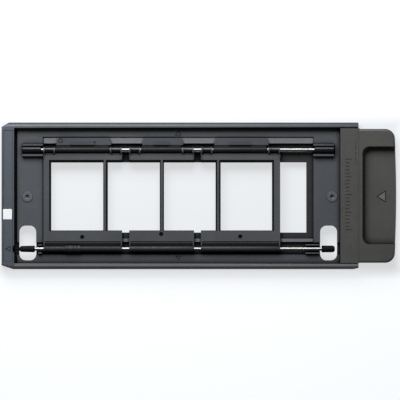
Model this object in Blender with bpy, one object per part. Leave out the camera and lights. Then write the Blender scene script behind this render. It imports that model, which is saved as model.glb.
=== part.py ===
"""Medium-format film strip carrier: tray with pull handle, hinged mask in three sections,
latch rod with thumb knobs, and three sprung clamp tabs.

Frame: origin at the middle of the underside, +X towards the handle, +Y towards the hinge,
+Z up. All constants are in millimetres and angles in degrees; meshes are built in metres.
"""

import math

import bmesh
import bpy

MM = 0.001

# ---- tray: a floor between two side rails and an end bar ----
TRAY_X0, TRAY_X1 = -162.2, 131.0
TRAY_Y = 60.3
RAIL_TOP = 10.8
RAIL_ROUND = 1.3
CHAMFER_REAR = (6.0, 3.7)
CHAMFER_FRONT = 3.3
WELL_X0, WELL_X1 = -151.9, 136.0
WELL_Y0, WELL_Y1 = -55.5, 55.8
FLOOR_Z = 6.5
RECESS_X0, RECESS_X1 = -128.6, 94.2
RECESS_Y0, RECESS_Y1 = -48.3, 48.6
FILM_Z = 4.5
GROOVE_Z = 3.4
HINGE_GROOVE_Y = (34.6, 43.0)
LATCH_GROOVE_Y1 = -38.2
GATE_X0, GATE_X1 = -123.1, 88.4
GATE_Y0, GATE_Y1 = -30.2, 27.6
HOOK_RELIEFS_X = ((-62.9, -57.8), (-3.7, 1.1))
HOOK_RELIEF_Z = 1.8
SLOT_CENTRES_X = (-141.0, 106.7)
SLOT_CENTRE_Y = -38.8
SLOT_SIZE = (14.1, 28.6)
SLOT_CORNER = 5.2
BOSS_CENTRES = ((-141.2, -0.7), (109.5, -0.7))
BOSS_R, BOSS_DIMPLE_R, BOSS_RISE = 4.1, 1.7, 0.5
DECK_X0, DECK_Z = 115.8, 4.6
UNDERSIDE_Z = 0.8
CHANNEL = (-133.95, 99.65, -48.15, -38.35)
PATCH_BOX = (-161.0, -153.6, -19.3, -10.8)
PATCH_Z0, PATCH_Z1 = 10.1, 10.5
FIT = 0.3

# ---- rods ----
ROD_Z = 7.5
ROD_R = 1.5
BORE_R = 1.56
HINGE_Y = 37.8
LATCH_Y = -43.65
CAP_R, CAP_END, ROD_INSET = 3.2, 0.5, 0.8
CAP_SPANS = ((-145.3, -129.9), (94.9, 111.5))
CRADLE_SPANS = ((-145.6, -128.0), (93.6, 111.8))
CRADLE_WALLS_Y = ((41.3, 43.2), (31.9, 34.3))
CRADLE_Z, CRADLE_TOP, CRADLE_END = 3.9, 9.4, 0.6
LATCH_GROOVE_X = (WELL_X0 - 1, DECK_X0 + 1)
GUIDE_SPANS = {"left": (-132.3, -128.9), "right": (87.3, 98.6)}
GUIDE_GAP, GUIDE_WALL, GUIDE_TOP = 2.95, 0.85, 8.9
ROD_SPAN = (-139.0, 105.0)
PRESS_R = ROD_R + 0.1
KNOB_LEFT = ((-151.8, 0.5), (-151.3, 0.85), (-148.4, 1.0), (-146.4, 2.3), (-135.6, 2.75), (-135.0, 2.4))
KNOB_RIGHT = ((100.8, 2.5), (101.4, 2.9), (109.6, 2.9), (111.0, 2.3), (111.6, 1.5))
KNOB_FLOOR, KNOB_BORE = 0.4, 8.4
NOTCH = (-153.4, -46.9, -40.4)

# ---- mask ----
MASK_Y0, MASK_Y1 = -37.4, 35.0
MASK_Z0, MASK_Z1 = 5.0, 8.2
SECTIONS = (("left", -127.9, -63.3), ("middle", -57.4, -4.1), ("right", 1.5, 66.7))
WINDOWS = ((-121.6, -78.8), (-75.0, -32.3), (-28.8, 13.6), (17.8, 60.0))
WINDOW_Y0, WINDOW_Y1 = -28.4, 27.4
WINDOW_SLOPE, WINDOW_LIP = 1.3, 0.8
HOOK_SPANS = (
    (-127.9, -118.6), (-73.0, -63.5), (-57.4, -48.3), (-13.8, -4.4), (1.6, 10.9), (56.9, 66.5)
)
HOOK_R, HOOK_WALL, HOOK_TOP = 2.75, 0.8, 9.9
HOOK_Y0, HOOK_WEB_TOP = 35.3, 8.6
HOOK_BACK, HOOK_POCKET = 2.6, (0.5, 0.4, 6.4)
SNAP_GAP, SNAP_TOP = 2.4, 6.6
REAR_STEP_Y, REAR_STEP_Z = 22.0, 6.8
BARREL_R, BARREL_FLANK = 2.75, 2.0
LATCH_WEB_Z, WEB_LAP = (6.2, 7.2), 0.5
LATCH_RIB = (-38.9, -38.3, 7.9)
END_RIB = 1.0
FRONT_RELIEF_Y, FRONT_RELIEF_Z = -34.9, 5.9
SPRING_HOUSING = (-110.2, -97.4)
SPRING_HOUSING_R, SPRING_CAVITY_R, SPRING_HOUSING_WALL = 3.3, 2.5, 0.8
COLLAR_R, COLLAR_LENGTH, COLLAR_INSET = 2.2, 1.8, 1.1
LATCH_COIL = (1.98, 0.22, 5, 0)

# ---- clamp tabs ----
TABS = (
    ("left", -117.4, -74.2, 20.0),
    ("middle", -46.7, -15.0, 13.0),
    ("right", 12.5, 55.2, 18.0),
)
TAB_R = 2.7
BARREL_MORE = 0.8
LEAF_Y0, LEAF_Y1 = 41.8, 47.7
LEAF_Z0, LEAF_Z1 = 7.4, 8.4
LEAF_FLARE_LEFT, LEAF_FLARE_RIGHT = (0.1, -1.0), (1.5, -0.3)
TAB_WEB = (2.0, 0.5, 6.7, 7.8)
RIDGE_Y, RIDGE_LAP, RIDGE_RISE = (0.25, 1.4), 0.5, 0.6
LIP_Y, LIP_Z, LIP_END = (28.75, 36.7), (4.8, 5.5), 0.6
TORSION_LENGTH, TORSION_CAVITY_R = 5.0, 2.3
TORSION_WINDOW = (2.0, 4.0, 6.3)
TAB_COIL = (1.93, 0.17, 6, 3.2)

# ---- film guides ----
REAR_STRIP = (-127.9, 93.9, 43.1, 47.7, 4.8, 6.0)
FRONT_STRIP = (-127.9, 93.9, -37.9, -35.2, 4.8, 5.6)

# ---- handle ----
GRIP_X0, GRIP_X1 = 131.3, 162.2
GRIP_Y, GRIP_CORNER, GRIP_BULGE = 55.0, 8.0, 1.3
CORNER_STEPS, BOW_STEPS = 5, 8
GRIP_ROUND = 1.4
GRIP_TOP, GRIP_SPLIT = 11.0, 2.6
BAND_X0, BAND_UNDER = 116.1, 4.9
KNOB_RELIEF = (1.2, 6.0)
SCOOP_X0, SCOOP_Y0, SCOOP_Y1 = 134.1, -39.8, 40.7
SCOOP_Z, SCOOP_CORNER = 6.9, 5.8
HOLLOW = (129.8, 158.4, -50.0, 50.0, 5.0)
TONGUE = (129.8, 142.0, -47.8, 49.6, 2.6, 4.4)
SCREWS = ((137.4, -45.5), (137.4, 45.5), (153.0, -45.5), (153.0, 45.5))
SCREW_R, SCREW_HEAD_R, SCREW_Z0, SCREW_Z1 = 1.25, 2.5, 0.5, 9.2
SCREW_HEAD_Z, SCREW_BOSS_R = 2.0, 3.2
CROSS = (1.5, 0.3, 1.2)

BLACK = (0.030, 0.031, 0.034, 1.0)


def clear_scene():
    for obj in list(bpy.data.objects):
        bpy.data.objects.remove(obj, do_unlink=True)


def material(name, colour, roughness, metallic=0.0):
    mat = bpy.data.materials.new(name)
    mat.use_nodes = True
    shader = mat.node_tree.nodes["Principled BSDF"]
    shader.inputs["Base Color"].default_value = colour
    shader.inputs["Roughness"].default_value = roughness
    shader.inputs["Metallic"].default_value = metallic
    mat.diffuse_color = colour
    return mat


def object_from(name, bm):
    bmesh.ops.recalc_face_normals(bm, faces=bm.faces[:])
    mesh = bpy.data.meshes.new(name)
    bm.to_mesh(mesh)
    bm.free()
    obj = bpy.data.objects.new(name, mesh)
    bpy.context.scene.collection.objects.link(obj)
    return obj


def loft(name, rings):
    """A closed solid from rings of points in millimetres, all of one length, capped at both ends."""
    bm = bmesh.new()
    loops = [[bm.verts.new([v * MM for v in point]) for point in ring] for ring in rings]
    count = len(loops[0])
    for low, high in zip(loops, loops[1:]):
        for i in range(count):
            j = (i + 1) % count
            bm.faces.new((low[i], low[j], high[j], high[i]))
    bm.faces.new(loops[0][::-1])
    bm.faces.new(loops[-1])
    return object_from(name, bm)


def prism(name, outline, z0, z1):
    """Outline in X and Y, swept up Z."""
    return loft(name, [[(x, y, z) for x, y in outline] for z in (z0, z1)])


def profile_x(name, outline, x0, x1):
    """Outline in Y and Z, swept along X."""
    return loft(name, [[(x, y, z) for y, z in outline] for x in (x0, x1)])


def box(name, x0, x1, y0, y1, z0, z1):
    return prism(name, ((x0, y0), (x1, y0), (x1, y1), (x0, y1)), z0, z1)


def circle(cx, cy, radius, sides):
    turns = [2 * math.pi * (i + 0.5) / sides for i in range(sides)]
    return [(cx + radius * math.cos(t), cy + radius * math.sin(t)) for t in turns]


def rod_x(name, x0, x1, y, radius, sides=24):
    """A round bar along X, at rod height."""
    return profile_x(name, circle(y, ROD_Z, radius, sides), x0, x1)


def turned_x(name, y, stations, sides=20):
    """A turned shape about an axis along X, from (x, radius) stations."""
    return loft(name, [[(x, a, b) for a, b in circle(y, ROD_Z, r, sides)] for x, r in stations])


def post(name, x, y, radius, z0, z1, sides=20):
    return prism(name, circle(x, y, radius, sides), z0, z1)


def rounded(x0, x1, y0, y1, radius, steps=4):
    """Corner points of a rectangle with round corners, anticlockwise."""
    points = []
    corners = ((x1, y1, 0), (x0, y1, 90), (x0, y0, 180), (x1, y0, 270))
    for cx, cy, start in corners:
        ax = cx - radius if cx == x1 else cx + radius
        ay = cy - radius if cy == y1 else cy + radius
        for i in range(steps + 1):
            turn = math.radians(start + 90 * i / steps)
            points.append((ax + radius * math.cos(turn), ay + radius * math.sin(turn)))
    return points


def combine(target, operation, tools):
    """Cuts the tools from the target, or joins them to it, and removes them."""
    for tool in tools:
        step = target.modifiers.new(operation.lower(), "BOOLEAN")
        step.operation = operation
        step.solver = "EXACT"
        step.object = tool
        graph = bpy.context.evaluated_depsgraph_get()
        mesh = bpy.data.meshes.new_from_object(target.evaluated_get(graph))
        target.modifiers.clear()
        old = target.data
        target.data = mesh
        bpy.data.meshes.remove(old)
        bpy.data.objects.remove(tool, do_unlink=True)
    return target


def cut(target, *tools):
    return combine(target, "DIFFERENCE", tools)


def join(target, *tools):
    return combine(target, "UNION", tools)


def round_top(obj, top, width, segments, keep=None):
    """Rounds the edges of the top face; keep(edge middle) picks which of them."""
    bm = bmesh.new()
    bm.from_mesh(obj.data)
    edges = []
    for edge in bm.edges:
        high = all(abs(v.co.z - top * MM) < 1e-6 for v in edge.verts)
        middle = (edge.verts[0].co + edge.verts[1].co) / 2 / MM
        if high and edge.calc_face_angle(0) > 0.5 and (keep is None or keep(middle)):
            edges.append(edge)
    bmesh.ops.bevel(
        bm, geom=edges, offset=width * MM, segments=segments, profile=0.5, affect="EDGES"
    )
    bm.to_mesh(obj.data)
    bm.free()
    return obj


def finish(obj, mat, pivot=None):
    """Gives the material and moves the origin to the pivot, with the shape left where it is."""
    obj.data.materials.clear()
    obj.data.materials.append(mat)
    if pivot is not None:
        offset = [v * MM for v in pivot]
        for vert in obj.data.vertices:
            for axis in range(3):
                vert.co[axis] -= offset[axis]
        obj.location = offset
    return obj


def make_side_rail(name, y0, y1, mat):
    rail = box(name, WELL_X0, TRAY_X1, y0, y1, 0, RAIL_TOP)
    round_top(rail, RAIL_TOP, RAIL_ROUND, 3, lambda m: abs(m.x) < TRAY_X1 - 1)
    return finish(rail, mat)


def make_end_bar(mat):
    """The bar that goes into the slot first, with cut corners and a notch for the latch rod's tip."""
    rear_dx, rear_dy = CHAMFER_REAR
    inner = WELL_X0 - FIT
    outline = (
        (inner, -TRAY_Y),
        (inner, TRAY_Y),
        (TRAY_X0 + rear_dx, TRAY_Y),
        (TRAY_X0, TRAY_Y - rear_dy),
        (TRAY_X0, -TRAY_Y + CHAMFER_FRONT),
    )
    bar = prism("end_bar", outline, 0, RAIL_TOP)
    round_top(bar, RAIL_TOP, RAIL_ROUND, 3, lambda m: abs(m.y) < TRAY_Y - 0.01)
    notch_x, notch_y0, notch_y1 = NOTCH
    x0, x1, y0, y1 = PATCH_BOX
    cut(
        bar,
        box("patch_seat", x0 - FIT, x1 + FIT, y0 - FIT, y1 + FIT, PATCH_Z0 - FIT, RAIL_TOP + 1),
        box("notch", notch_x, inner + 1, notch_y0, notch_y1, FLOOR_Z - FIT, RAIL_TOP + 1),
    )
    return finish(bar, mat)


def slot_cutter(x):
    half_x, half_y = SLOT_SIZE[0] / 2, SLOT_SIZE[1] / 2
    outline = rounded(
        x - half_x, x + half_x, SLOT_CENTRE_Y - half_y, SLOT_CENTRE_Y + half_y, SLOT_CORNER
    )
    return prism("slot", outline, UNDERSIDE_Z - 1, FLOOR_Z + 1)


def floor_panel(name, y0, y1):
    """A stretch of the tray's floor, lower under the handle's band and open at the finger slots."""
    panel = box(name, WELL_X0, TRAY_X1, y0, y1, UNDERSIDE_Z, FLOOR_Z)
    cut(panel, box("deck", DECK_X0, TRAY_X1 + 1, y0 - 1, y1 + 1, DECK_Z, FLOOR_Z + 1))
    return cut(panel, *[slot_cutter(x) for x in SLOT_CENTRES_X])


def make_tray_floor(mat):
    high = CRADLE_TOP + 1
    body = floor_panel("carrier_body", RECESS_Y0 + FIT / 2, WELL_Y1 - FIT)
    cut(
        body,
        box("recess", RECESS_X0, RECESS_X1, RECESS_Y0 - 1, RECESS_Y1, FILM_Z, high),
        box("hinge_groove", RECESS_X0, RECESS_X1, *HINGE_GROOVE_Y, GROOVE_Z, high),
        box("latch_groove", *LATCH_GROOVE_X, RECESS_Y0 - 1, LATCH_GROOVE_Y1, GROOVE_Z, high),
        box("gate", GATE_X0, GATE_X1, GATE_Y0, GATE_Y1, -1, high),
    )
    x0, x1, y0, y1 = CHANNEL
    cut(body, box("channel_room", x0 - 1, x1 + 1, y0 - 1, y1 + FIT, -1, high))
    for x0, x1 in HOOK_RELIEFS_X:
        cut(body, box("hook_relief", x0, x1, GATE_Y1 - 1, HINGE_GROOVE_Y[0] + 1, HOOK_RELIEF_Z, high))
    tongue_x0, tongue_x1, tongue_y0, tongue_y1, tongue_z0, tongue_z1 = TONGUE
    join(body, box("tongue", tongue_x0, tongue_x1, tongue_y0, tongue_y1, tongue_z0, tongue_z1))
    for x, y in SCREWS[:2]:
        cut(body, post("tongue_hole", x, y, SCREW_R + FIT, tongue_z0 - 1, tongue_z1 + 1))
    for x0, x1 in CRADLE_SPANS:
        inner0 = x0 if x0 < 0 else RECESS_X1 + FIT
        inner1 = x1 if x1 > 0 else RECESS_X0 - FIT
        for wall0, wall1 in CRADLE_WALLS_Y:
            join(body, box("cradle_wall", inner0 - CRADLE_END, inner1 + CRADLE_END, wall0, wall1,
                           FLOOR_Z - 1, CRADLE_TOP))
        low_y, high_y = CRADLE_WALLS_Y[1][1], CRADLE_WALLS_Y[0][0]
        cut(body, box("cradle", x0, x1, low_y, high_y, CRADLE_Z, high))
    for x, y in BOSS_CENTRES:
        join(body, post("boss", x, y, BOSS_R, FLOOR_Z - 1, FLOOR_Z + BOSS_RISE))
        cut(body, post("dimple", x, y, BOSS_DIMPLE_R, UNDERSIDE_Z - 1, high, 12))
    return finish(body, mat)


def make_rod_guides(mat):
    """Ribs that stand in the latch groove on both sides of the rod, near its two ends."""
    for end, (x0, x1) in GUIDE_SPANS.items():
        for side, sign in (("rear", 1), ("front", -1)):
            y0, y1 = sorted((LATCH_Y + sign * GUIDE_GAP, LATCH_Y + sign * (GUIDE_GAP + GUIDE_WALL)))
            rib = box(f"rod_guide_{end}_{side}", x0, x1, y0, y1, GROOVE_Z + FIT, GUIDE_TOP)
            finish(rib, mat)


def make_rods(steel, black):
    rod0, rod1 = CAP_SPANS[0][0] + ROD_INSET, CAP_SPANS[1][1] - ROD_INSET
    finish(rod_x("hinge_rod", rod0, rod1, HINGE_Y, ROD_R), steel)
    for side, (x0, x1) in zip(("left", "right"), CAP_SPANS):
        cap = rod_x(f"hinge_rod_cap_{side}", x0, x1, HINGE_Y, CAP_R)
        bore = (x0 + CAP_END, x1 + 1) if side == "left" else (x0 - 1, x1 - CAP_END)
        cut(cap, rod_x("cap_bore", *bore, HINGE_Y, PRESS_R))
        finish(cap, black)


def window_cutter(x0, x1, slope_left, slope_right):
    """Straight at the film side, then widening to the top face."""
    rings = []
    levels = (
        (MASK_Z0 - 1, 0),
        (MASK_Z0 + WINDOW_LIP, 0),
        (MASK_Z1, WINDOW_SLOPE),
        (MASK_Z1 + 1, WINDOW_SLOPE),
    )
    for z, out in levels:
        left, right = x0 - out * slope_left, x1 + out * slope_right
        low, high = WINDOW_Y0 - out, WINDOW_Y1 + out
        rings.append([(left, low, z), (right, low, z), (right, high, z), (left, high, z)])
    return loft("window", rings)


def make_mask(side, x0, x1, mat):
    body = box(f"mask_{side}", x0, x1, MASK_Y0, MASK_Y1, MASK_Z0, MASK_Z1)
    for w0, w1 in WINDOWS:
        if w1 < x0 or w0 > x1:
            continue
        whole_left, whole_right = w0 > x0, w1 < x1
        left = w0 if whole_left else x0 - 4
        right = w1 if whole_right else x1 + 4
        cut(body, window_cutter(left, right, whole_left, whole_right))
    barrel_y = LATCH_Y + BARREL_FLANK
    web_y = MASK_Y0 + WEB_LAP
    rib_y0, rib_y1, rib_top = LATCH_RIB
    join(
        body,
        box("latch_web", x0, x1, barrel_y, web_y, *LATCH_WEB_Z),
        box("latch_rib", x0, x1, rib_y0, rib_y1, LATCH_WEB_Z[1] - WEB_LAP, rib_top),
        box("end_rib", x0, x0 + END_RIB, barrel_y, web_y, FRONT_RELIEF_Z, MASK_Z1),
        box("end_rib", x1 - END_RIB, x1, barrel_y, web_y, FRONT_RELIEF_Z, MASK_Z1),
        rod_x("latch_barrel", x0, x1, LATCH_Y, BARREL_R),
    )
    if side == "left":
        join(body, rod_x("spring_housing", *SPRING_HOUSING, LATCH_Y, SPRING_HOUSING_R))
    cut(
        body,
        box("rear_step", x0 - 1, x1 + 1, REAR_STEP_Y, MASK_Y1 + 1, MASK_Z0 - 1, REAR_STEP_Z),
        box("front_relief", x0 - 1, x1 + 1, MASK_Y0 - 1, FRONT_RELIEF_Y, MASK_Z0 - 1, FRONT_RELIEF_Z),
        rod_x("latch_bore", x0 - 1, x1 + 1, LATCH_Y, BORE_R),
    )
    if side == "left":
        cavity = (SPRING_HOUSING[0] + SPRING_HOUSING_WALL, SPRING_HOUSING[1] - SPRING_HOUSING_WALL)
        half = SPRING_CAVITY_R - FIT
        cut(
            body,
            rod_x("spring_cavity", *cavity, LATCH_Y, SPRING_CAVITY_R),
            box("spring_window", *cavity, LATCH_Y - half, LATCH_Y + half, GROOVE_Z, ROD_Z - 1),
        )
    return finish(body, mat, (0, HINGE_Y, ROD_Z))


def make_hook(number, x0, x1, mat):
    """A clip at the mask's rear edge that snaps over the hinge rod from above."""
    body = rod_x(f"mask_hook_{number}", x0, x1, HINGE_Y, HOOK_R)
    back = HINGE_Y + HOOK_BACK
    from_front, from_axis, floor = HOOK_POCKET
    snap = SNAP_GAP / 2
    join(
        body,
        box("hook_web", x0, x1, HOOK_Y0, HINGE_Y, MASK_Z0, HOOK_WEB_TOP),
        box("hook_wall", x0, x0 + HOOK_WALL, HOOK_Y0, back, MASK_Z0 + 0.4, HOOK_TOP),
        box("hook_wall", x1 - HOOK_WALL, x1, HOOK_Y0, back, MASK_Z0 + 0.4, HOOK_TOP),
    )
    cut(
        body,
        rod_x("hinge_bore", x0 - 1, x1 + 1, HINGE_Y, BORE_R),
        box("snap_slot", x0 - 1, x1 + 1, HINGE_Y - snap, HINGE_Y + snap, GROOVE_Z, SNAP_TOP),
        box("hook_pocket", x0 + HOOK_WALL, x1 - HOOK_WALL, HOOK_Y0 + from_front, HINGE_Y - from_axis,
            floor, HOOK_TOP + 2),
    )
    return finish(body, mat, ((x0 + x1) / 2, HINGE_Y, ROD_Z))


def coil(name, x0, x1, y, wound, mat):
    """A helical spring about the X direction, wound as (radius, wire radius, turns, straight ends)."""
    radius, wire, turns, legs = wound
    steps, sides = 12, 6
    path = []
    for i in range(turns * steps + 1):
        turn = 2 * math.pi * i / steps
        x = x0 + wire + (x1 - x0 - 2 * wire) * i / (turns * steps)
        path.append((x, y + radius * math.cos(turn), ROD_Z + radius * math.sin(turn)))
    if legs:
        path.insert(0, (path[0][0], path[0][1], path[0][2] - legs))
        path.append((path[-1][0], path[-1][1], path[-1][2] - legs))
    rings = []
    for i, (x, py, pz) in enumerate(path):
        before, after = path[max(i - 1, 0)], path[min(i + 1, len(path) - 1)]
        along = (after[1] - before[1], after[2] - before[2])
        length = math.hypot(*along)
        outward = (along[1] / length, -along[0] / length)
        ring = []
        for j in range(sides):
            angle = 2 * math.pi * j / sides
            side, reach = wire * math.cos(angle), wire * math.sin(angle)
            ring.append((x + side, py + outward[0] * reach, pz + outward[1] * reach))
        rings.append(ring)
    return finish(loft(name, rings), mat)


def make_latch(steel, black):
    pivot = (0, LATCH_Y, ROD_Z)
    rod0, rod1 = ROD_SPAN
    finish(rod_x("latch_rod", rod0, rod1, LATCH_Y, ROD_R), steel, pivot)
    left = turned_x("latch_knob_left", LATCH_Y, KNOB_LEFT)
    cut(left, rod_x("knob_bore", rod0 - KNOB_FLOOR, rod0 + KNOB_BORE, LATCH_Y, PRESS_R))
    finish(left, black, pivot)
    right = turned_x("latch_knob_right", LATCH_Y, KNOB_RIGHT)
    cut(right, rod_x("knob_bore", rod1 - KNOB_BORE, rod1 + KNOB_FLOOR, LATCH_Y, PRESS_R))
    finish(right, black, pivot)
    collar_x = SPRING_HOUSING[0] + COLLAR_INSET
    collar = rod_x("latch_collar", collar_x, collar_x + COLLAR_LENGTH, LATCH_Y, COLLAR_R)
    cut(collar, rod_x("collar_bore", collar_x - 1, collar_x + COLLAR_LENGTH + 1, LATCH_Y, ROD_R + 0.05))
    finish(collar, black, pivot)
    spring0, spring1 = collar_x + COLLAR_LENGTH + FIT, SPRING_HOUSING[1] - COLLAR_INSET
    coil("latch_spring", spring0, spring1, LATCH_Y, LATCH_COIL, steel)


def make_tab(side, x0, x1, ridge, black, steel):
    middle = (x0 + x1) / 2
    body = rod_x(f"clamp_tab_{side}", x0 - BARREL_MORE, x1 + BARREL_MORE, HINGE_Y, TAB_R)
    root_left, tip_left = LEAF_FLARE_LEFT
    root_right, tip_right = LEAF_FLARE_RIGHT
    outline = (
        (x0 - root_left, LEAF_Y0),
        (x1 + root_right, LEAF_Y0),
        (x1 + tip_right, LEAF_Y1),
        (x0 - tip_left, LEAF_Y1),
    )
    from_axis, over_leaf, web_z0, web_z1 = TAB_WEB
    ridge_y0, ridge_y1 = (LEAF_Y0 + y for y in RIDGE_Y)
    join(
        body,
        box("tab_web", x0, x1, HINGE_Y + from_axis, LEAF_Y0 + over_leaf, web_z0, web_z1),
        prism("leaf", outline, LEAF_Z0, LEAF_Z1),
        box("tab_ridge", middle - ridge / 2, middle + ridge / 2, ridge_y0, ridge_y1,
            LEAF_Z1 - RIDGE_LAP, LEAF_Z1 + RIDGE_RISE),
        box("tab_lip", x0 + LIP_END, x1 - LIP_END, *LIP_Y, *LIP_Z),
    )
    spring0, spring1 = middle - TORSION_LENGTH / 2, middle + TORSION_LENGTH / 2
    before, behind, window_top = TORSION_WINDOW
    cut(
        body,
        rod_x("tab_bore", x0 - 2, x1 + 2, HINGE_Y, BORE_R),
        rod_x("torsion_cavity", spring0, spring1, HINGE_Y, TORSION_CAVITY_R),
        box("torsion_window", spring0, spring1, HINGE_Y - before, HINGE_Y + behind, GROOVE_Z, window_top),
    )
    finish(body, black, (middle, HINGE_Y, ROD_Z))
    coil(f"clamp_spring_{side}", spring0 + FIT, spring1 - FIT, HINGE_Y, TAB_COIL, steel)


def grip_outline():
    """The grip seen from above: square at the tray, round corners and a bowed pulling edge."""
    points = [(GRIP_X0, GRIP_Y), (GRIP_X0, -GRIP_Y)]
    edge = GRIP_X1 - GRIP_BULGE
    span = GRIP_Y - GRIP_CORNER
    turns = [math.radians(90 * i / CORNER_STEPS) for i in range(CORNER_STEPS + 1)]
    for turn in reversed(turns):
        points.append((edge - GRIP_CORNER * (1 - math.cos(turn)), -span - GRIP_CORNER * math.sin(turn)))
    for i in range(1, BOW_STEPS):
        across = -1 + 2 * i / BOW_STEPS
        points.append((GRIP_X1 - GRIP_BULGE * across**2, span * across))
    for turn in turns:
        points.append((edge - GRIP_CORNER * (1 - math.cos(turn)), span + GRIP_CORNER * math.sin(turn)))
    return points


def make_handle(shell_mat, black, steel):
    shell = prism("handle_shell", grip_outline(), GRIP_SPLIT, GRIP_TOP)
    round_top(shell, GRIP_TOP, GRIP_ROUND, 3, lambda m: m.x > GRIP_X0 + 0.1)
    join(shell, box("band", BAND_X0, GRIP_X0 + 1, WELL_Y0 + FIT, WELL_Y1 - FIT, BAND_UNDER, GRIP_TOP))
    scoop = rounded(SCOOP_X0, GRIP_X1 + 20, SCOOP_Y0, SCOOP_Y1, SCOOP_CORNER)
    hollow_x0, hollow_x1, hollow_y0, hollow_y1, roof = HOLLOW
    relief, half = KNOB_RELIEF
    cut(
        shell,
        prism("scoop", scoop, SCOOP_Z, GRIP_TOP + 2),
        box("hollow", hollow_x0, hollow_x1, hollow_y0, hollow_y1, -1, roof),
        box("knob_relief", BAND_X0 - 1, BAND_X0 + relief, LATCH_Y - half, LATCH_Y + half,
            BAND_UNDER - 1, GRIP_TOP + 2),
    )
    for x, y in SCREWS[2:]:
        join(shell, post("boss", x, y, SCREW_BOSS_R, GRIP_SPLIT, roof + 0.5))
    for x, y in SCREWS:
        cut(shell, post("pilot", x, y, SCREW_R + 0.1, -1, SCREW_Z1 + FIT, 16))
    finish(shell, shell_mat)
    cover = prism("handle_cover", grip_outline(), 0, GRIP_SPLIT - FIT)
    for x, y in SCREWS:
        cut(
            cover,
            post("shank_hole", x, y, SCREW_R + FIT, -1, 4, 16),
            post("head_recess", x, y, SCREW_HEAD_R + FIT, -1, SCREW_HEAD_Z, 16),
        )
    finish(cover, black)
    long, short, depth = CROSS
    for number, (x, y) in enumerate(SCREWS, 1):
        screw = post(f"handle_screw_{number}", x, y, SCREW_HEAD_R, SCREW_Z0, SCREW_HEAD_Z - 0.2, 16)
        join(screw, post("shank", x, y, SCREW_R, SCREW_Z0 + 0.3, SCREW_Z1, 12))
        cut(
            screw,
            box("cross", x - long, x + long, y - short, y + short, 0, depth),
            box("cross", x - short, x + short, y - long, y + long, 0, depth),
        )
        finish(screw, steel)


def main():
    clear_scene()
    black = material("black_plastic", BLACK, 0.5)
    shell = material("handle_plastic", (0.035, 0.034, 0.033, 1.0), 0.6)
    mask = material("mask_plastic", (0.034, 0.035, 0.038, 1.0), 0.45)
    steel = material("steel_rod", (0.62, 0.62, 0.60, 1.0), 0.2, 1.0)
    grey = material("guide_grey", (0.18, 0.185, 0.195, 1.0), 0.5)
    white = material("patch_white", (0.92, 0.92, 0.92, 1.0), 0.5)
    make_tray_floor(black)
    finish(box("latch_channel", *CHANNEL, UNDERSIDE_Z, GROOVE_Z), black)
    finish(floor_panel("floor_margin", WELL_Y0 + FIT, RECESS_Y0 - FIT / 2), black)
    make_side_rail("side_rail_rear", WELL_Y1, TRAY_Y, black)
    make_side_rail("side_rail_front", -TRAY_Y, WELL_Y0, black)
    make_end_bar(black)
    make_rod_guides(black)
    make_rods(steel, black)
    finish(box("film_edge_strip", *REAR_STRIP), grey)
    finish(box("film_guide_strip", *FRONT_STRIP), grey)
    finish(box("reference_patch", *PATCH_BOX, PATCH_Z0, PATCH_Z1), white)
    for side, x0, x1 in SECTIONS:
        make_mask(side, x0, x1, mask)
    for number, (x0, x1) in enumerate(HOOK_SPANS, 1):
        make_hook(number, x0, x1, mask)
    make_latch(steel, black)
    for side, x0, x1, ridge in TABS:
        make_tab(side, x0, x1, ridge, black, steel)
    make_handle(shell, black, steel)


main()
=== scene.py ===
"""Looks of a medium-format film strip carrier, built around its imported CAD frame.

Lengths in this script are millimetres until a mesh is made, but for those of the lamp, the camera and the
paper's glow, which are metres. X runs towards the pull handle, Y towards the hinge rod and Z up out of the
film side.
"""

import math

import bmesh
import bpy
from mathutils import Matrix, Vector


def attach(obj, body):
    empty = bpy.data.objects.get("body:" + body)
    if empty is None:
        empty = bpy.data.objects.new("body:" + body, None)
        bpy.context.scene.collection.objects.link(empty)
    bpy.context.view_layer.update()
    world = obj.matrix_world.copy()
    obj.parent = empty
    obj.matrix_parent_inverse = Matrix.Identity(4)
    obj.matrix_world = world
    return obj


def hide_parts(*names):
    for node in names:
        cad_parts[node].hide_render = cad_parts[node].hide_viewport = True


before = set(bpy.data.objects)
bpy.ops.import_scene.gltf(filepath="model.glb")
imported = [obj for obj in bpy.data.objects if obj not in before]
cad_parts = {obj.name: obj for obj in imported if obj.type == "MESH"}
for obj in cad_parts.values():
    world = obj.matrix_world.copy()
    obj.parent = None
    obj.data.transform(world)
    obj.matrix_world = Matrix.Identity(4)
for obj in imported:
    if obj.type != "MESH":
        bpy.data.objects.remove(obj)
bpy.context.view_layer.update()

MM = 0.001

ROD_Z, ROD_R = 7.5, 1.5
BORE_R, PRESS_R = ROD_R + 0.06, ROD_R + 0.1
HINGE_Y, LATCH_Y = 37.8, -43.65
RAIL_TOP, FLOOR_Z, FILM_Z, GROOVE_Z = 10.8, 6.5, 4.5, 3.4
ABOVE, BELOW, OVER_MASK = RAIL_TOP + 3, -1, 12
WINDOWS = ((-121.6, -78.8), (-75.0, -32.3), (-28.8, 13.6), (17.8, 60.0))
WINDOW_Y0, WINDOW_Y1 = -28.4, 27.4
WINDOW_SLOPES = ((1.7, 0.6), (1.7, 0.8), (1.0, 1.3), (1.3, 1.7))
SLOPE_FRONT, SLOPE_REAR, SLOPE_Z = 0.5, 2.2, 6.9
MASK_Y0, MASK_Y1, MASK_Z0, MASK_Z1 = -37.4, 35.0, 5.0, 8.2
SCREWS = ((137.4, -45.5), (137.4, 45.5), (153.0, -45.5), (153.0, 45.5))
SHANK_HOLE_R = 1.55
NEAR = 0.01


# ---------------------------------------------------------------- mesh tools


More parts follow.
